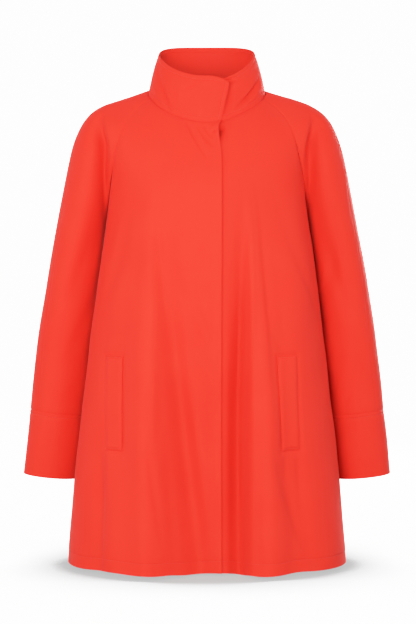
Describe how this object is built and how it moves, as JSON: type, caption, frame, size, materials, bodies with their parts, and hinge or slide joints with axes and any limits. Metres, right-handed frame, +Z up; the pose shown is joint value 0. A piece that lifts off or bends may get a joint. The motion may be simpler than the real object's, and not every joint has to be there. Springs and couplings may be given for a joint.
{
  "type": "swing coat",
  "caption": "A-line swing coat with raglan sleeves, lapped stand collar, concealed front closing, deep cuffs and welt pockets, hollow and filled out as worn.",
  "frame": {"origin": "middle of the neck opening, at the height of the points where the collar meets the shoulders, where the wearer's shoulders and neck hold the coat up", "axes": "+Z up along the coat's length, -Y towards its front, +X towards the wearer's left"},
  "size_m": [0.645, 0.3408, 0.8996],
  "materials": {
    "red_cotton": "matte with a soft sheen"
  },
  "bodies": {
    "root": {"front_right": "red_cotton", "front_left": "red_cotton", "back": "red_cotton", "sleeve_front_right": "red_cotton", "sleeve_front_left": "red_cotton", "sleeve_back_right": "red_cotton", "sleeve_back_left": "red_cotton", "cuff_right": "red_cotton", "cuff_left": "red_cotton", "collar": "red_cotton", "pocket_welt_right": "red_cotton", "pocket_welt_left": "red_cotton"}
  },
  "joints": []
}
